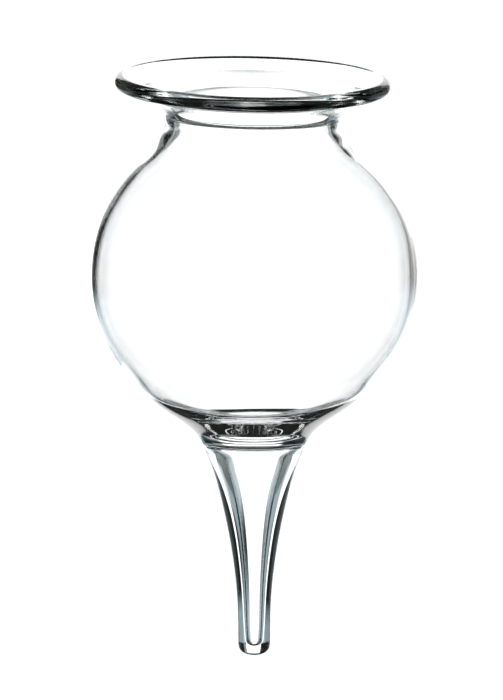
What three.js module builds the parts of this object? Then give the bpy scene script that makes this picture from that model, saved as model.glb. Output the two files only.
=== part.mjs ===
// Peg-stemmed storm glass: an open, mouth-blown bulb with a flared lip on a hollow, tapered stem.
// Units are millimetres. +Z is up, the stem's axis is Z and the origin is the bottom of the tip.
// Every piece is a solid of revolution. The pieces are stacked along the axis and meet on flat
// faces, where the glassmaker joined them hot.

import * as THREE from 'three';

// --- Driving dimensions -------------------------------------------------------------------------
const BULB_RADIUS = 60.0;         // widest point of the bulb
const BULB_CENTRE_Z = 146.0;      // height of the widest point
const NECK_RADIUS = 31.9;         // narrowest point of the outside of the neck
const NECK_Z = 203.0;
const LIP_RING_RADIUS = 47.38;    // centre line of the rounded lip
const LIP_RING_Z = 215.41;
const LIP_ROUND = 2.72;           // radius of the lip's round edge, half the wall of the flare
const FLARE_SLOPE = THREE.MathUtils.degToRad(24.2);  // slope of the flare where it meets the lip

const TIP_RADIUS = 5.95;          // outside of the stem at its lower end
const TIP_END_HEIGHT = 4.4;       // height over which the tip is rounded off
const TIP_END_POWER = 2.6;        // 2 is a half ball, more is flatter underneath
const TIP_CAVITY_Z = 3.5;         // bottom of the hollow inside the stem
const STEM_CAVITY_TOP_Z = 83.48;  // top of the hollow inside the stem, on the axis
const BOWL_FLOOR_Z = 89.81;       // flat floor inside the bulb
const BOWL_FLOOR_RADIUS = 5.0;

const TIP_SEAM_Z = 12.0;          // tip to stem
const PAD_SEAM_Z = 80.0;          // stem to joint pad
const BULB_SEAM_Z = 88.0;         // joint pad to bulb
const LIP_SEAM_Z = 209.5;         // bulb to lip

const MOUTH_TILT = 0.020;         // the mouth leans: fall in height for each mm along +X
const TILT_FROM_Z = 186.0;
const TILT_TO_Z = 202.0;
const NECK_OFFSET = -0.6;         // the neck sits this far along X from the stem's axis
const OFFSET_FROM_Z = 150.0;
const OFFSET_TO_Z = 198.0;

const SEGMENTS = 40;              // facets round every piece, so that the seams coincide

// --- Outlines, as [radius, height] --------------------------------------------------------------
// Outside, from the side of the tip to the underside of the lip.
const outsidePoints = [
  [TIP_RADIUS, TIP_END_HEIGHT],
  [6.25, 20],
  [7.6, 34.5],
  [10.25, 50.5],
  [12.9, 62.5],
  [15.6, 72],
  [18.3, 78.8],
  [20.9, 84.3],
  [25.6, 89.3],
  [35.5, 96.8],
  [46.7, 107.9],
  [55.8, 123],
  [BULB_RADIUS, BULB_CENTRE_Z],
  [56.4, 164.4],
  [48.9, 178.5],
  [39.3, 189.6],
  [33.2, 197.7],
  [NECK_RADIUS, NECK_Z],
  [35, 207.65],
  [39.28, 210.26],
  [LIP_RING_RADIUS + LIP_ROUND * Math.sin(FLARE_SLOPE), LIP_RING_Z - LIP_ROUND * Math.cos(FLARE_SLOPE)],
];

// Inside of the bulb, from the edge of its floor to the top of the lip.
const insidePoints = [
  [BOWL_FLOOR_RADIUS, BOWL_FLOOR_Z],
  [14, 91.52],
  [24, 95.85],
  [34.5, 99.9],
  [43.6, 108.2],
  [53.2, 123],
  [57.5, BULB_CENTRE_Z],
  [53.9, 163.9],
  [46.4, 176.9],
  [36.7, 187.5],
  [29.6, 196],
  [28.18, 204.09],
  [29.55, 210.63],
  [37.23, 215.6],
  [LIP_RING_RADIUS - LIP_ROUND * Math.sin(FLARE_SLOPE), LIP_RING_Z + LIP_ROUND * Math.cos(FLARE_SLOPE)],
];

// Hollow of the stem, from its rounded lower end to its top, where the pad hangs down a little.
const hollowPoints = [
  [0, TIP_CAVITY_Z],
  [1.5, 4.1],
  [2.25, 6.6],
  [2.5, 11],
  [2.85, 22],
  [3.6, 36],
  [4.8, 49],
  [6.7, 61],
  [9.8, 72.2],
  [13.2, 79.6],
  [14.38, 83.41],
  [10.01, 84.21],
  [0, STEM_CAVITY_TOP_Z],
];

const UP = [0, 1];
const OUTWARD = [1, 0];
const INWARD = [-1, 0];
const ALONG_FLARE = [Math.cos(FLARE_SLOPE), Math.sin(FLARE_SLOPE)];

const FULL_TURN = Math.PI * 2;

// --- Geometry helpers ---------------------------------------------------------------------------
// Cubic spline with even curvature through the points. It is measured along the chords, leaves
// the first point along startDirection and reaches the last along endDirection.
function smoothCurve(points, startDirection, endDirection) {
  const last = points.length - 1;
  const knots = [0];
  for (let i = 0; i < last; i++) {
    knots.push(knots[i] + Math.hypot(points[i + 1][0] - points[i][0], points[i + 1][1] - points[i][1]));
  }
  const span = (i) => knots[i + 1] - knots[i];

  // The slopes come from a three-band system, solved forwards and then backwards.
  const slopes = points.map(() => [0, 0]);
  slopes[0] = startDirection;
  slopes[last] = endDirection;
  for (let axis = 0; axis < 2; axis++) {
    const chordSlope = (i) => (points[i + 1][axis] - points[i][axis]) / span(i);
    const band = [0];
    const right = [slopes[0][axis]];
    for (let i = 1; i < last; i++) {
      const pivot = 2 * (span(i - 1) + span(i)) - span(i) * band[i - 1];
      band[i] = span(i - 1) / pivot;
      const wanted = 3 * (span(i) * chordSlope(i - 1) + span(i - 1) * chordSlope(i));
      right[i] = (wanted - span(i) * right[i - 1]) / pivot;
    }
    for (let i = last - 1; i > 0; i--) {
      slopes[i][axis] = right[i] - band[i] * slopes[i + 1][axis];
    }
  }

  const at = (distance) => {
    let i = 0;
    while (i < last - 1 && distance > knots[i + 1]) {
      i++;
    }
    const h = span(i);
    const t = (distance - knots[i]) / h;
    const along = (axis) =>
      (1 + 2 * t) * (1 - t) ** 2 * points[i][axis] + t * (1 - t) ** 2 * h * slopes[i][axis] +
      t * t * (3 - 2 * t) * points[i + 1][axis] - t * t * (1 - t) * h * slopes[i + 1][axis];
    return new THREE.Vector2(along(0), along(1));
  };
  return { at, length: knots[last] };
}

// Distance along a rising curve at which it reaches a height, found by halving.
function distanceAtHeight(curve, height) {
  let low = 0;
  let high = curve.length;
  for (let i = 0; i < 60; i++) {
    const middle = (low + high) / 2;
    if (curve.at(middle).y < height) {
      low = middle;
    } else {
      high = middle;
    }
  }
  return (low + high) / 2;
}

// Evenly spaced points on a curve from one distance to another, ends included.
function stretch(curve, from, to, steps) {
  const points = [];
  for (let i = 0; i <= steps; i++) {
    points.push(curve.at(from + (to - from) * i / steps));
  }
  return points;
}

// The mouth of a hand-made glass is never quite true: the rim tips and the neck sits off the axis.
function settle(geometry) {
  const position = geometry.getAttribute('position');
  for (let i = 0; i < position.count; i++) {
    const x = position.getX(i);
    const z = position.getZ(i);
    const tilt = MOUTH_TILT * THREE.MathUtils.smoothstep(z, TILT_FROM_Z, TILT_TO_Z);
    const offset = NECK_OFFSET * THREE.MathUtils.smoothstep(z, OFFSET_FROM_Z, OFFSET_TO_Z);
    position.setX(i, x + offset);
    position.setZ(i, z - tilt * x);
  }
}

// A closed ring or plug, turned about Z from an outline that runs up its outside and down its inside.
function turned(name, outline, material) {
  const geometry = new THREE.LatheGeometry(outline, SEGMENTS, 0, FULL_TURN);
  geometry.rotateX(Math.PI / 2);
  settle(geometry);
  const mesh = new THREE.Mesh(geometry, material);
  mesh.name = name;
  return mesh;
}

function clearGlass(colour, roughness) {
  return new THREE.MeshStandardMaterial({
    color: colour,
    roughness,
    metalness: 0,
    transparent: true,
    opacity: 0.4,
  });
}

// --- The curves and the places where the pieces part --------------------------------------------
const outside = smoothCurve(outsidePoints, UP, ALONG_FLARE);
const inside = smoothCurve(insidePoints, OUTWARD, ALONG_FLARE);
const hollow = smoothCurve(hollowPoints, OUTWARD, INWARD);
const hollowRise = { at: hollow.at, length: hollow.length * 0.84 };

const outsideAtTip = distanceAtHeight(outside, TIP_SEAM_Z);
const outsideAtPad = distanceAtHeight(outside, PAD_SEAM_Z);
const outsideAtBulb = distanceAtHeight(outside, BULB_SEAM_Z);
const outsideAtLip = distanceAtHeight(outside, LIP_SEAM_Z);
const insideAtLip = distanceAtHeight(inside, LIP_SEAM_Z);
const hollowAtTip = distanceAtHeight(hollowRise, TIP_SEAM_Z);
const hollowAtPad = distanceAtHeight(hollowRise, PAD_SEAM_Z);

// --- Pieces -------------------------------------------------------------------------------------
// Solid end of the stem, melted shut and rounded, with the blind end of the hollow in it.
function sealedTip() {
  const steps = 9;
  const end = [];
  for (let i = 0; i < steps; i++) {
    const angle = (Math.PI / 2) * i / steps;
    const reach = Math.pow(Math.sin(angle), 2 / TIP_END_POWER);
    const drop = Math.pow(Math.cos(angle), 2 / TIP_END_POWER);
    end.push(new THREE.Vector2(TIP_RADIUS * reach, TIP_END_HEIGHT * (1 - drop)));
  }
  const side = stretch(outside, 0, outsideAtTip, 2);
  const cavity = stretch(hollow, hollowAtTip, 0, 7);
  return turned('sealed_tip', [...end, ...side, ...cavity], clearGlass('#dfe9ea', 0.05));
}

// Hollow tapered stem, open at both ends.
function hollowStem() {
  const side = stretch(outside, outsideAtTip, outsideAtPad, 11);
  const bore = stretch(hollow, hollowAtPad, hollowAtTip, 11);
  return turned('hollow_stem', [...side, ...bore, side[0]], clearGlass('#dfe9ea', 0.05));
}

// Hot-joined pad that closes the top of the stem and carries the bulb.
function jointPad() {
  const side = stretch(outside, outsideAtPad, outsideAtBulb, 4);
  const top = new THREE.Vector2(0, BULB_SEAM_Z);
  const dome = stretch(hollow, hollow.length, hollowAtPad, 9);
  dome[0].x = 0;
  return turned('joint_pad', [...side, top, ...dome, side[0]], clearGlass('#cfdcdc', 0.05));
}

// Blown bulb with its flat floor, shoulders and neck.
function blownBulb() {
  const underside = new THREE.Vector2(0, BULB_SEAM_Z);
  const wall = stretch(outside, outsideAtBulb, outsideAtLip, 24);
  const lining = stretch(inside, insideAtLip, 0, 22);
  const floor = new THREE.Vector2(0, BOWL_FLOOR_Z);
  return turned('blown_bulb', [underside, ...wall, ...lining, floor], clearGlass('#eef4f3', 0.04));
}

// Flared lip with a fire-polished, round edge.
function flaredLip() {
  const steps = 8;
  const underside = stretch(outside, outsideAtLip, outside.length, 4);
  const edge = [];
  for (let i = 1; i < steps; i++) {
    const angle = FLARE_SLOPE - Math.PI / 2 + Math.PI * i / steps;
    edge.push(new THREE.Vector2(
      LIP_RING_RADIUS + LIP_ROUND * Math.cos(angle),
      LIP_RING_Z + LIP_ROUND * Math.sin(angle),
    ));
  }
  const face = stretch(inside, inside.length, insideAtLip, 5);
  return turned('flared_lip', [...underside, ...edge, ...face, underside[0]], clearGlass('#c3cfc9', 0.04));
}

const stormGlass = new THREE.Group();
stormGlass.name = 'storm_glass';
stormGlass.add(blownBulb(), flaredLip(), jointPad(), hollowStem(), sealedTip());

export default stormGlass;
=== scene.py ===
"""Peg-stemmed storm glass, a mouth-blown bulb with a flared lip on a hollow, tapered stem.

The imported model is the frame. Every piece here is a surface of revolution about Z worked out
with numpy from the same outlines as the solids, with far more facets, and stands for one of them.
"""

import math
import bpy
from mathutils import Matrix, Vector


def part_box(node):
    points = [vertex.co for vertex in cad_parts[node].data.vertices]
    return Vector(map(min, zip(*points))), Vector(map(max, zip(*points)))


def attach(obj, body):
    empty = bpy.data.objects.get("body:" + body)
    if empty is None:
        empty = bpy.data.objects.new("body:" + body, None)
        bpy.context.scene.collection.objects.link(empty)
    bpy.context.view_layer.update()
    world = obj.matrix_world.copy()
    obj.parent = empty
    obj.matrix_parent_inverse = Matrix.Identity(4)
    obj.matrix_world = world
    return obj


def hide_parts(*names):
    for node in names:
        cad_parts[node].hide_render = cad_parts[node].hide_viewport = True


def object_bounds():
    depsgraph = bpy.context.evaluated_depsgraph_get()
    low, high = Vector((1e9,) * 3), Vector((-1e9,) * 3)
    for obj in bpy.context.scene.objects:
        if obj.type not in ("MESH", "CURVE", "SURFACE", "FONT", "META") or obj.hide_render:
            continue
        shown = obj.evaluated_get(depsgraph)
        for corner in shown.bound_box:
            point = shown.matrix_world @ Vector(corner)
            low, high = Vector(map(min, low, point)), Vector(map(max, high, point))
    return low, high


bl_info = {
    "name": "Storm glass",
    "version": (1, 0, 0),
    "blender": (4, 5, 0),
    "location": "3D View > Sidebar > Storm glass",
    "description": "Builds a peg-stemmed storm glass of clear blown glass in a light tent",
    "category": "Object",
}

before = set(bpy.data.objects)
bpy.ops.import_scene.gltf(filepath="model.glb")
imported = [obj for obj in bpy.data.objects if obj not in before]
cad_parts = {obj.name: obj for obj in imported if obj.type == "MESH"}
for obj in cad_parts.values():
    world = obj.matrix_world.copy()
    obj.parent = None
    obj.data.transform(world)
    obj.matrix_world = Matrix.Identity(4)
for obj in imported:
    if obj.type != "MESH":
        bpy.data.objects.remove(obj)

import bpy
import numpy as np
from bpy.props import FloatProperty, FloatVectorProperty, IntProperty, PointerProperty
from mathutils import Vector

CAD_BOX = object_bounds()
MM = 0.001


def top_of(node):
    """Height of the top of a CAD node, in millimetres."""
    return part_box(node)[1].z / MM


# --- Outlines, as (radius, height) in millimetres -------------------------------------------------
TIP_SEAM = top_of("sealed_tip")
PAD_SEAM = top_of("hollow_stem")
BULB_SEAM = top_of("joint_pad")
LIP_SEAM = 209.5

# Outside, from the side of the tip to just short of the lip.
OUTSIDE = (
    (5.95, 4.4), (6.25, 20.0), (7.6, 34.5), (10.25, 50.5), (12.9, 62.5), (15.6, 72.0),
    (18.3, 78.8), (20.9, 84.3), (25.6, 89.3), (35.5, 96.8), (46.7, 107.9), (55.8, 123.0),
    (60.0, 146.0), (56.4, 164.4), (48.9, 178.5), (39.3, 189.6), (33.2, 197.7), (31.9, 203.0),
    (35.0, 207.65), (39.28, 210.26),
)
# Inside of the bulb, from the edge of its small flat floor to just short of the lip.
INSIDE = (
    (5.0, 89.81), (14.0, 91.52), (24.0, 95.85), (34.5, 99.9), (43.6, 108.2), (53.2, 123.0),
    (57.5, 146.0), (53.9, 163.9), (46.4, 176.9), (36.7, 187.5), (29.6, 196.0), (28.18, 204.09),
    (29.55, 210.63), (37.23, 215.6),
)
# Hollow of the stem, from its rounded lower end to its top, where the pad hangs down a little.
HOLLOW = (
    (0.0, 3.5), (1.5, 4.1), (2.25, 6.6), (2.5, 11.0), (2.85, 22.0), (3.6, 36.0), (4.8, 49.0),
    (6.7, 61.0), (9.8, 72.2), (13.2, 79.6), (14.38, 83.41), (10.01, 84.21), (0.0, 83.48),
)
UP = (0.0, 1.0)
OUTWARD = (1.0, 0.0)
INWARD = (-1.0, 0.0)

# Power of the stem's rounded end: 2 is an ellipse, and more makes it squarer.
END_POWER = 2.6
# Share of the hollow's outline, from its lower end, over which it only rises.
HOLLOW_RISE = 0.84
# Heights between which the neck's offset and the mouth's tilt fade in.
OFFSET_RANGE = (150.0, 198.0)
TILT_RANGE = (186.0, 202.0)

# --- Waves left in the wall -----------------------------------------------------------------------
# Each wave has its share of the ripple's depth, its count round the glass, the millimetres of height
# that turn it by a radian, how much of the inner skin's lag it takes, and where it starts.
RIPPLE_WAVES = ((1.0, 2, 31.0, 1.0, 0.0), (0.7, 3, -17.0, 2.2, 0.8), (0.35, 5, 9.0, -1.0, 2.1))
INNER_LAG = 1.9
# Radii between which the ripple fades in, away from the axis.
RIPPLE_FADE = (2.0, 26.0)
# Cords are streaks of uneven glass about 11 mm wide. Their pattern's scale is cut to this share along
# the axis, which draws them out to about 32 mm. Then comes their depth in each piece, in millimetres.
CORD_WIDTH = 100 / 9
CORD_SQUEEZE = 0.35
TIP_CORDS = 0.01
STEM_CORDS = 0.012
PAD_CORDS = 0.012
BULB_CORDS = 0.012
LIP_CORDS = 0.02

# --- Fineness of the meshes -----------------------------------------------------------------------
# Distance between rings along each outline, in millimetres, closer where the glass turns tighter.
TIP_STEP = 0.5
STEM_STEP = 0.6
PAD_STEP = 0.4
BULB_STEP = 0.8
LIP_STEP = 0.4
HOLLOW_END_STEP = 0.3
# Distance from a seam to the ring beside it, which keeps the shading true up to the seam.
SEAM_RING = 0.02
# Points round a quarter of the tip's end and round half of the lip's edge.
TIP_POINTS = 28
EDGE_POINTS = 34
# Rings of the bulb's flat floor, as shares of its radius.
FLOOR_RINGS = (0.6, 0.2, 0.0)
# Halvings in the search for a height on an outline.
HALVINGS = 60
# Edges that turn by more than this are shaded sharp.
CREASE_ANGLE = math.radians(40)


# --- Colour ---------------------------------------------------------------------------------------
def linear(hex_colour):
    """sRGB hex colour as linear red, green and blue."""
    value = np.array([int(hex_colour[i:i + 2], 16) for i in (1, 3, 5)]) / 255
    return np.where(value <= 0.04045, value / 12.92, ((value + 0.055) / 1.055) ** 2.4)


WHITE = (*linear("#ffffff"), 1.0)
# Strength of a white that has to show as pure white.
PURE_WHITE = 1.05


# --- Things a user would change -------------------------------------------------------------------
class StormGlassSizes(bpy.types.PropertyGroup):
    """Sizes of the glass that may be changed within its outlines."""

    lip_radius: FloatProperty(
        name="Lip radius", description="Radius of the centre line of the rounded lip",
        default=47.38 * MM, unit="LENGTH")
    lip_height: FloatProperty(
        name="Lip height", description="Height of the centre line of the rounded lip",
        default=215.41 * MM, unit="LENGTH")
    lip_round: FloatProperty(
        name="Lip round", description="Radius of the lip's fire-polished edge",
        default=2.72 * MM, unit="LENGTH")
    flare_slope: FloatProperty(
        name="Flare slope", description="Slope of the flare where it meets the lip",
        default=math.radians(24.2), subtype="ANGLE")
    mouth_tilt: FloatProperty(
        name="Mouth tilt", description="Fall of the mouth for each unit along +X",
        default=0.020)
    neck_offset: FloatProperty(
        name="Neck offset", description="Distance of the neck along X from the stem's axis",
        default=-0.6 * MM, unit="LENGTH")
    ripple: FloatProperty(
        name="Ripple", description="Depth of the slow waves left in the wall by blowing and turning",
        default=0.05 * MM, unit="LENGTH")
    facets: IntProperty(
        name="Facets", description="Facets round every piece", default=256, min=48, max=320)


class StormGlassLooks(bpy.types.PropertyGroup):
    """Colour of the glass, piece by piece."""

    bulb_tint: FloatVectorProperty(
        name="Bulb tint", description="Colour left in light by the thin wall", size=3,
        subtype="COLOR", default=linear("#fdfefe").tolist())
    lip_tint: FloatVectorProperty(
        name="Lip tint", description="Colour left in light by the thick lip", size=3,
        subtype="COLOR", default=linear("#fafdfa").tolist())
    pad_tint: FloatVectorProperty(
        name="Pad tint", description="Colour left in light by the thick joint", size=3,
        subtype="COLOR", default=linear("#fafdfd").tolist())
    stem_tint: FloatVectorProperty(
        name="Stem tint", description="Colour left in light by the stem", size=3,
        subtype="COLOR", default=linear("#fcfefe").tolist())


class StormGlassStudio(bpy.types.PropertyGroup):
    """Camera and light tent."""

    distance: FloatProperty(
        name="Camera distance", description="From the camera to the middle of the glass",
        default=1.513, unit="LENGTH")
    elevation: FloatProperty(
        name="Camera elevation", description="Angle of the camera above the horizon",
        default=math.radians(13.0), subtype="ANGLE")
    lens: FloatProperty(name="Lens", description="Focal length in millimetres", default=211.5)
    backdrop: FloatProperty(
        name="Backdrop", description="Brightness of the white sheet behind the glass",
        default=1.6)


# --- Numpy helpers --------------------------------------------------------------------------------
def smooth_curve(points, start, end):
    """Cubic spline with even curvature through the points, and its length along the chords.

    Each piece between two points is the Hermite cubic of its ends and slopes. The slopes make the
    second derivative continuous, and are start and end at the two ends.
    """
    points = np.array(points, float)
    span = np.hypot(*np.diff(points, axis=0).T)
    knots = np.concatenate([[0.0], np.cumsum(span)])
    chord = np.diff(points, axis=0) / span[:, None]
    count = len(points)
    band = np.eye(count)
    wanted = np.zeros((count, 2))
    wanted[0], wanted[-1] = start, end
    i = np.arange(1, count - 1)
    band[i, i - 1], band[i, i], band[i, i + 1] = span[1:], 2 * (span[:-1] + span[1:]), span[:-1]
    wanted[1:-1] = 3 * (span[1:, None] * chord[:-1] + span[:-1, None] * chord[1:])
    slope = np.linalg.solve(band, wanted)

    def at(distance):
        distance = np.asarray(distance, float)
        k = np.clip(np.searchsorted(knots, distance, side="right") - 1, 0, count - 2)
        h = span[k][..., None]
        t = ((distance - knots[k]) / span[k])[..., None]
        return ((1 + 2 * t) * (1 - t) ** 2 * points[k] + t * (1 - t) ** 2 * h * slope[k]
                + t * t * (3 - 2 * t) * points[k + 1] - t * t * (1 - t) * h * slope[k + 1])

    return at, knots[-1]


def distance_at(curve, height, share=1.0):
    """Distance along a rising curve at which it reaches a height, found by halving."""
    at, length = curve
    low, high = 0.0, length * share
    for _ in range(HALVINGS):
        middle = (low + high) / 2
        low, high = (middle, high) if at(middle)[1] < height else (low, middle)
    return (low + high) / 2


def stretch(curve, start, end, step):
    """Even points on a curve from one distance to another, with one more close to each end."""
    turn = math.copysign(SEAM_RING, end - start)
    count = max(4, int(round(abs(end - start) / step)))
    inner = np.linspace(start, end, count + 1)[1:-1]
    return curve[0](np.concatenate([[start, start + turn], inner, [end - turn, end]]))


def smoothstep(x, low, high):
    """0 below low, 1 above high, and 3t^2 - 2t^3 between them."""
    t = np.clip((x - low) / (high - low), 0, 1)
    return t * t * (3 - 2 * t)


# --- Shape ----------------------------------------------------------------------------------------
def curves(sizes):
    """The three curves that bound the glass, with the flare's ends set by the lip."""
    slope = sizes.flare_slope
    ring = np.array([sizes.lip_radius, sizes.lip_height]) / MM
    across = sizes.lip_round / MM * np.array([math.sin(slope), -math.cos(slope)])
    along = (math.cos(slope), math.sin(slope))
    return {
        "outside": smooth_curve([*OUTSIDE, ring + across], UP, along),
        "inside": smooth_curve([*INSIDE, ring - across], OUTWARD, along),
        "hollow": smooth_curve(HOLLOW, OUTWARD, INWARD),
    }


def turned(name, runs, sizes, closed):
    """Closed surface of revolution of an outline that runs up its outside and down its inside.

    runs is a list of (points, is_seam, is_inner). A point (r, z) becomes, for the angle a,
    ((r + w) cos a, (r + w) sin a, z), where w is the ripple, a sum of three slow waves in a and z
    that dies away at the axis. Then x gains the neck's offset and z loses the mouth's tilt times x,
    each faded in over a range of heights. An outline that isn't closed starts and ends on the axis.
    """
    outline = np.vstack([run[0] for run in runs])
    inner = np.concatenate([np.full(len(run[0]), run[2], float) for run in runs])
    seam = np.concatenate([np.full(len(run[0]), run[1]) for run in runs])
    facets = sizes.facets
    angle = np.arange(facets) * (2 * math.pi / facets)
    rings = outline if closed else outline[1:-1]
    inner = inner if closed else inner[1:-1]
    radius, height = rings[:, :1], np.repeat(rings[:, 1:], facets, 1)
    lag = INNER_LAG * inner[:, None]
    wave = sum(share * np.cos(count * angle + height / rise + part * lag + start)
               for share, count, rise, part, start in RIPPLE_WAVES)
    reach = radius + sizes.ripple / MM * wave * smoothstep(radius, *RIPPLE_FADE)
    points = np.stack([reach * np.cos(angle), reach * np.sin(angle), height], -1).reshape(-1, 3)
    if not closed:
        points = np.vstack([points, [0, 0, outline[0, 1]], [0, 0, outline[-1, 1]]])
    x, z = points[:, 0].copy(), points[:, 2].copy()
    points[:, 0] += sizes.neck_offset / MM * smoothstep(z, *OFFSET_RANGE)
    points[:, 2] -= sizes.mouth_tilt * x * smoothstep(z, *TILT_RANGE)

    count = len(rings)
    first = np.arange(count if closed else count - 1)[:, None] * facets
    after = (first + facets) % (count * facets)
    here = np.arange(facets)
    onward = (here + 1) % facets
    quads = np.stack([first + here, first + onward, after + onward, after + here], -1)
    faces = quads.reshape(-1, 4).tolist()
    band = seam if closed else seam[1:-1]
    kinds = np.repeat(band[:len(first)], facets)
    if not closed:
        low, high = count * facets, count * facets + 1
        last = (count - 1) * facets
        faces += np.stack([np.full(facets, low), onward, here], -1).tolist()
        faces += np.stack([np.full(facets, high), last + here, last + onward], -1).tolist()
        kinds = np.concatenate([kinds, np.full(facets, seam[0]), np.full(facets, seam[-2])])

    mesh = bpy.data.meshes.new(name)
    mesh.from_pydata((points * MM).tolist(), [], faces)
    mesh.polygons.foreach_set("material_index", kinds.astype(np.int32))
    mesh.update()
    mesh.shade_smooth()
    mesh.set_sharp_from_angle(angle=CREASE_ANGLE)
    piece = bpy.data.objects.new(name, mesh)
    bpy.context.scene.collection.objects.link(piece)
    return piece


# --- Materials ------------------------------------------------------------------------------------
def add_node(tree, kind, settings=(), inputs=(), links=()):
    """Adds a node with its settings and input values, and links (input, node, output) into it."""
    node = tree.nodes.new(kind)
    for key, value in dict(settings).items():
        setattr(node, key, value)
    for key, value in dict(inputs).items():
        node.inputs[key].default_value = value
    for key, source, output in links:
        tree.links.new(source.outputs[output], node.inputs[key])
    return node


def blank_material(name):
    """New material with an empty node tree, and that tree."""
    material = bpy.data.materials.new(name)
    material.use_nodes = True
    material.node_tree.nodes.clear()
    return material, material.node_tree


def blown_glass(name, tint, cord_depth):
    """Soda-lime glass, blown, drawn and fire-polished.

    The flame leaves it without any roughness, so it is seen only by what it bends and mirrors.
    Blowing leaves shallow cords, drawn out along the axis, that make its dark edges waver. The iron
    in the sand leaves a faint tint that shows where light crosses the glass many times.
    """
    material, tree = blank_material(name)
    place = add_node(tree, "ShaderNodeTexCoord")
    drawn = add_node(tree, "ShaderNodeMapping", inputs={"Scale": (1.0, 1.0, CORD_SQUEEZE)},
                     links=[("Vector", place, "Object")])
    cords = add_node(tree, "ShaderNodeTexNoise",
                     inputs={"Scale": 1 / (CORD_WIDTH * MM), "Detail": 1.5, "Roughness": 0.4},
                     links=[("Vector", drawn, "Vector")])
    bump = add_node(tree, "ShaderNodeBump", inputs={"Strength": 1.0, "Distance": cord_depth * MM},
                    links=[("Height", cords, "Fac")])
    glass = add_node(tree, "ShaderNodeBsdfPrincipled",
                     inputs={"Base Color": (*tint, 1.0), "Roughness": 0.0, "IOR": 1.51,
                             "Transmission Weight": 1.0},
                     links=[("Normal", bump, "Normal")])
    add_node(tree, "ShaderNodeOutputMaterial", links=[("Surface", glass, "BSDF")])
    return material


def fused_seam():
    """Where two gathers were joined hot the glass runs through, so light passes unbent."""
    found = bpy.data.materials.get("glass, fused seam")
    if found:
        return found
    material, tree = blank_material("glass, fused seam")
    clear = add_node(tree, "ShaderNodeBsdfTransparent", inputs={"Color": WHITE})
    add_node(tree, "ShaderNodeOutputMaterial", links=[("Surface", clear, "BSDF")])
    return material


# --- Pieces ---------------------------------------------------------------------------------------
def place(piece, material, slot, *nodes):
    """Gives a piece its materials, its body and the solids it stands for. The slot is not used."""
    piece.data.materials.append(material)
    piece.data.materials.append(fused_seam())
    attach(piece, "root")
    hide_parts(*nodes)


class OBJECT_OT_storm_glass_tip(bpy.types.Operator):
    """Rounded end of the stem, with the blind end of the hollow in it"""

    bl_idname = "object.storm_glass_tip"
    bl_label = "Sealed tip"

    def execute(self, context):
        sizes, looks = context.scene.storm_glass_sizes, context.scene.storm_glass_looks
        bound = curves(sizes)
        angle = np.linspace(0, math.pi / 2, TIP_POINTS)[:-1]
        reach, drop = np.sin(angle) ** (2 / END_POWER), np.cos(angle) ** (2 / END_POWER)
        radius, height = OUTSIDE[0]
        end = np.stack([radius * reach, height * (1 - drop)], -1)
        outside, hollow = bound["outside"], bound["hollow"]
        side = stretch(outside, 0, distance_at(outside, TIP_SEAM), TIP_STEP)
        hole = stretch(hollow, distance_at(hollow, TIP_SEAM, HOLLOW_RISE), 0, HOLLOW_END_STEP)
        hole[-1, 0] = 0
        runs = [(end, False, False), (side[:-1], False, False), (side[-1:], True, False),
                (hole, False, True)]
        piece = turned("glass_tip", runs, sizes, closed=False)
        place(piece, blown_glass("soda-lime glass, tip, flame-sealed", looks.stem_tint, TIP_CORDS),
              "stem_glass", "sealed_tip")
        return {"FINISHED"}


class OBJECT_OT_storm_glass_stem(bpy.types.Operator):
    """Hollow tapered stem, open at both ends"""

    bl_idname = "object.storm_glass_stem"
    bl_label = "Hollow stem"

    def execute(self, context):
        sizes, looks = context.scene.storm_glass_sizes, context.scene.storm_glass_looks
        bound = curves(sizes)
        outside, hollow = bound["outside"], bound["hollow"]
        side = stretch(outside, distance_at(outside, TIP_SEAM), distance_at(outside, PAD_SEAM),
                       STEM_STEP)
        bore = stretch(hollow, distance_at(hollow, PAD_SEAM, HOLLOW_RISE),
                       distance_at(hollow, TIP_SEAM, HOLLOW_RISE), STEM_STEP)
        runs = [(side[:-1], False, False), (side[-1:], True, False),
                (bore[:-1], False, True), (bore[-1:], True, True)]
        piece = turned("glass_stem", runs, sizes, closed=True)
        place(piece, blown_glass("soda-lime glass, stem, drawn", looks.stem_tint, STEM_CORDS),
              "stem_glass", "hollow_stem")
        return {"FINISHED"}


class OBJECT_OT_storm_glass_pad(bpy.types.Operator):
    """Thick pad of glass that closes the top of the stem and carries the bulb"""

    bl_idname = "object.storm_glass_pad"
    bl_label = "Joint pad"

    def execute(self, context):
        sizes, looks = context.scene.storm_glass_sizes, context.scene.storm_glass_looks
        bound = curves(sizes)
        outside, hollow = bound["outside"], bound["hollow"]
        side = stretch(outside, distance_at(outside, PAD_SEAM), distance_at(outside, BULB_SEAM),
                       PAD_STEP)
        dome = stretch(hollow, hollow[1], distance_at(hollow, PAD_SEAM, HOLLOW_RISE),
                       HOLLOW_END_STEP)
        dome[0, 0] = 0
        # Over the dome from the axis, out along the lower seam, up the outside and back in.
        runs = [(dome[:-1], False, True), (dome[-1:], True, True),
                (side[:-1], False, False), (side[-1:], True, False),
                (np.array([[0.0, BULB_SEAM]]), False, False)]
        piece = turned("glass_pad", runs, sizes, closed=False)
        place(piece, blown_glass("soda-lime glass, pad, hot-joined", looks.pad_tint, PAD_CORDS),
              "pad_glass", "joint_pad")
        return {"FINISHED"}


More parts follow.
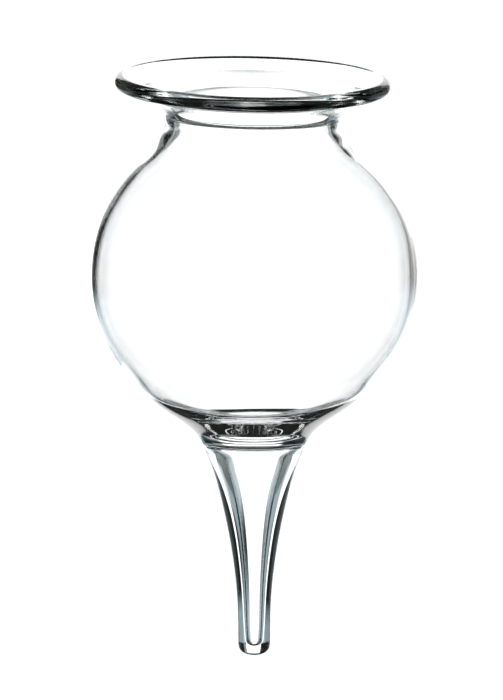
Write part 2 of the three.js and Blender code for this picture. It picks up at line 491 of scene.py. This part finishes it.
class OBJECT_OT_storm_glass_bulb(bpy.types.Operator):
    """Blown bulb with its floor, shoulders and neck"""

    bl_idname = "object.storm_glass_bulb"
    bl_label = "Blown bulb"

    def execute(self, context):
        sizes, looks = context.scene.storm_glass_sizes, context.scene.storm_glass_looks
        bound = curves(sizes)
        outside, inside = bound["outside"], bound["inside"]
        wall = stretch(outside, distance_at(outside, BULB_SEAM), distance_at(outside, LIP_SEAM),
                       BULB_STEP)
        lining = stretch(inside, distance_at(inside, LIP_SEAM), 0, BULB_STEP)
        floor = np.array([[INSIDE[0][0] * share, INSIDE[0][1]] for share in FLOOR_RINGS])
        runs = [(np.array([[0.0, BULB_SEAM]]), True, False),
                (wall[:-1], False, False), (wall[-1:], True, False),
                (lining, False, True), (floor, False, True)]
        piece = turned("glass_bulb", runs, sizes, closed=False)
        place(piece, blown_glass("soda-lime glass, bulb, mouth-blown", looks.bulb_tint, BULB_CORDS),
              "bulb_glass", "blown_bulb")
        return {"FINISHED"}


class OBJECT_OT_storm_glass_lip(bpy.types.Operator):
    """Flared lip with a round, fire-polished edge"""

    bl_idname = "object.storm_glass_lip"
    bl_label = "Flared lip"

    def execute(self, context):
        sizes, looks = context.scene.storm_glass_sizes, context.scene.storm_glass_looks
        bound = curves(sizes)
        outside, inside = bound["outside"], bound["inside"]
        under = stretch(outside, distance_at(outside, LIP_SEAM), outside[1], LIP_STEP)
        face = stretch(inside, inside[1], distance_at(inside, LIP_SEAM), LIP_STEP)
        angle = sizes.flare_slope - math.pi / 2 + np.linspace(0, math.pi, EDGE_POINTS)[1:-1]
        edge = np.stack([sizes.lip_radius + sizes.lip_round * np.cos(angle),
                         sizes.lip_height + sizes.lip_round * np.sin(angle)], -1) / MM
        runs = [(under, False, False), (edge, False, False),
                (face[:-1], False, True), (face[-1:], True, True)]
        piece = turned("glass_lip", runs, sizes, closed=True)
        place(piece, blown_glass("soda-lime glass, lip, fire-polished", looks.lip_tint, LIP_CORDS),
              "lip_glass", "flared_lip")
        return {"FINISHED"}


# --- Stage ----------------------------------------------------------------------------------------
# Cards of the light tent, in paint order: azimuth range, elevation range and softness in degrees,
# and colour. Azimuth 0 is the way the camera looks and grows to its right, and elevation 0 is level
# at the viewing angle. The tent is carried by the camera.
CARDS = (
    ((-64, -21), (-27, -14), 2, "#8fa1a8"),
    ((24, 64), (-27, -12), 2, "#98a9b0"),
    ((-80, -21), (-46, -27), 3, "#4c5657"),
    ((24, 80), (-46, -27), 3, "#626c6d"),
    ((20, 30), (-12, 20), 2, "#9c9c98"),
    ((-31, 31), (-31, -15), 3, "#d9e6ec"),
)
# White sheet behind the glass, painted last with the studio's brightness.
WHITE_BACK = ((-17, 21), (-41, 18), 1.5, "#ffffff")
# Dark cloth everywhere else.
TENT_BASE = "#1e211e"
TENT_RADIUS = 20.0
TENT_STEP = 2.0
FLOOR_RADIUS = 12.0
FLOOR_HEIGHT = -0.05
FLOOR_SIDES = 96
# How far the camera aims across from the stem's axis and above the middle of the glass.
AIM_ACROSS = -0.0010
AIM_ABOVE = 0.0068
# Bends and mirrorings that a ray may take on its way through the walls.
BOUNCES = 32


class OBJECT_OT_storm_glass_stage(bpy.types.Operator):
    """Camera, light tent with its white back and dark sides, and a pale floor"""

    bl_idname = "object.storm_glass_stage"
    bl_label = "Camera and light tent"

    def execute(self, context):
        studio = context.scene.storm_glass_studio
        camera = add_camera(context, studio)
        tent = add_tent(context, studio)
        tent.parent = camera
        tent.matrix_parent_inverse = camera.matrix_world.inverted()
        floor = add_floor(context)
        light_room(context)
        return {"FINISHED"}


def add_camera(context, studio):
    """Long-lens camera at the viewing angle, aimed a little above the middle of the glass."""
    data = bpy.data.cameras.new("camera")
    camera = bpy.data.objects.new("camera", data)
    context.scene.collection.objects.link(camera)
    middle = (CAD_BOX[0].z + CAD_BOX[1].z) / 2
    camera.location = (0.0, -studio.distance * math.cos(studio.elevation),
                       middle + studio.distance * math.sin(studio.elevation))
    aim = Vector((AIM_ACROSS, 0.0, middle + AIM_ABOVE))
    camera.rotation_euler = (aim - camera.location).to_track_quat("-Z", "Y").to_euler()
    data.lens = studio.lens
    data.clip_end = 100.0
    context.scene.camera = camera
    context.view_layer.update()
    return camera


def add_tent(context, studio):
    """Large sphere round the glass that glows as its cards say, and isn't seen by the camera.

    For the direction (azimuth a, elevation e) the colour starts as the dark cloth's and is mixed
    with each card's by the product of four smooth steps, one at each of the card's edges. The
    white back comes last.
    """
    azimuth = np.radians(np.arange(-180, 180, TENT_STEP))
    elevation = np.radians(np.arange(-90, 90 + TENT_STEP / 2, TENT_STEP))
    a, e = np.meshgrid(azimuth, elevation)
    points = TENT_RADIUS * np.stack([np.sin(a) * np.cos(e), np.cos(a) * np.cos(e), np.sin(e)], -1)
    points[..., 2] += (CAD_BOX[0].z + CAD_BOX[1].z) / 2
    rows, columns = a.shape
    index = np.arange(rows * columns).reshape(rows, columns)
    after = np.roll(index, -1, axis=1)
    faces = np.stack([index[:-1], index[1:], after[1:], after[:-1]], -1).reshape(-1, 4)
    colour = np.broadcast_to(linear(TENT_BASE), (rows, columns, 3)).copy()
    cards = [(*card, 1.0) for card in CARDS] + [(*WHITE_BACK, studio.backdrop)]
    for across, upward, soft, shade, brightness in cards:
        mask = (smoothstep(np.degrees(a), across[0] - soft, across[0] + soft)
                * (1 - smoothstep(np.degrees(a), across[1] - soft, across[1] + soft))
                * smoothstep(np.degrees(e), upward[0] - soft, upward[0] + soft)
                * (1 - smoothstep(np.degrees(e), upward[1] - soft, upward[1] + soft)))[..., None]
        colour = colour * (1 - mask) + linear(shade) * brightness * mask
    mesh = bpy.data.meshes.new("light_tent")
    mesh.from_pydata(points.reshape(-1, 3).tolist(), [], faces.tolist())
    light = mesh.color_attributes.new("light", "FLOAT_COLOR", "POINT")
    light.data.foreach_set("color", np.concatenate([colour, np.ones((rows, columns, 1))], -1).ravel())
    mesh.update()
    tent = bpy.data.objects.new("light_tent", mesh)
    context.scene.collection.objects.link(tent)
    tent.visible_camera = False
    tent.visible_shadow = False
    material, tree = blank_material("tent cloth, lit from behind")
    glow = add_node(tree, "ShaderNodeAttribute", settings={"attribute_name": "light"})
    shine = add_node(tree, "ShaderNodeEmission", inputs={"Strength": 1.0},
                     links=[("Color", glow, "Color")])
    add_node(tree, "ShaderNodeOutputMaterial", links=[("Surface", shine, "Emission")])
    mesh.materials.append(material)
    return tent


def add_floor(context):
    """Pale disc under the glass that glows white and is seen by the camera alone."""
    angle = np.arange(FLOOR_SIDES) * (2 * math.pi / FLOOR_SIDES)
    points = np.stack([FLOOR_RADIUS * np.cos(angle), FLOOR_RADIUS * np.sin(angle),
                       np.full(FLOOR_SIDES, FLOOR_HEIGHT)], -1)
    mesh = bpy.data.meshes.new("pale_floor")
    mesh.from_pydata(points.tolist(), [], [list(range(FLOOR_SIDES))])
    floor = bpy.data.objects.new("pale_floor", mesh)
    context.scene.collection.objects.link(floor)
    for reach in ("visible_transmission", "visible_glossy", "visible_diffuse", "visible_shadow"):
        setattr(floor, reach, False)
    material, tree = blank_material("opal acrylic, lit from below")
    shine = add_node(tree, "ShaderNodeEmission", inputs={"Color": WHITE, "Strength": PURE_WHITE})
    add_node(tree, "ShaderNodeOutputMaterial", links=[("Surface", shine, "Emission")])
    mesh.materials.append(material)
    return floor


def light_room(context):
    """White room round the tent, and enough bounces for light to cross the glass."""
    world = bpy.data.worlds.new("white room")
    context.scene.world = world
    world.use_nodes = True
    room = world.node_tree.nodes["Background"]
    room.inputs["Color"].default_value = WHITE
    room.inputs["Strength"].default_value = PURE_WHITE
    scene = context.scene
    scene.view_settings.view_transform = "Standard"
    scene.cycles.max_bounces = BOUNCES
    scene.cycles.transmission_bounces = BOUNCES
    scene.cycles.glossy_bounces = BOUNCES
    scene.cycles.transparent_max_bounces = BOUNCES


# --- Panel and registration -----------------------------------------------------------------------
STEPS = (
    OBJECT_OT_storm_glass_stage,
    OBJECT_OT_storm_glass_tip,
    OBJECT_OT_storm_glass_stem,
    OBJECT_OT_storm_glass_pad,
    OBJECT_OT_storm_glass_bulb,
    OBJECT_OT_storm_glass_lip,
)


class VIEW3D_PT_storm_glass(bpy.types.Panel):
    """Sizes, colours and steps of the storm glass"""

    bl_label = "Storm glass"
    bl_idname = "VIEW3D_PT_storm_glass"
    bl_space_type = "VIEW_3D"
    bl_region_type = "UI"
    bl_category = "Storm glass"

    def draw(self, context):
        for group in ("storm_glass_sizes", "storm_glass_looks", "storm_glass_studio"):
            box = self.layout.box()
            values = getattr(context.scene, group)
            for key in values.bl_rna.properties.keys():
                if key not in ("rna_type", "name"):
                    box.prop(values, key)
        for step in STEPS:
            self.layout.operator(step.bl_idname)


CLASSES = (StormGlassSizes, StormGlassLooks, StormGlassStudio, *STEPS, VIEW3D_PT_storm_glass)


def register():
    """Adds the classes and the scene's groups of properties."""
    for entry in CLASSES:
        bpy.utils.register_class(entry)
    bpy.types.Scene.storm_glass_sizes = PointerProperty(type=StormGlassSizes)
    bpy.types.Scene.storm_glass_looks = PointerProperty(type=StormGlassLooks)
    bpy.types.Scene.storm_glass_studio = PointerProperty(type=StormGlassStudio)


def unregister():
    """Takes away what register added."""
    del bpy.types.Scene.storm_glass_studio
    del bpy.types.Scene.storm_glass_looks
    del bpy.types.Scene.storm_glass_sizes
    for entry in reversed(CLASSES):
        bpy.utils.unregister_class(entry)


def main():
    """Registers the add-on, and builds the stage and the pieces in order."""
    register()
    for step in STEPS:
        group, name = step.bl_idname.split(".")
        getattr(getattr(bpy.ops, group), name)()


if __name__ == "__main__":
    main()
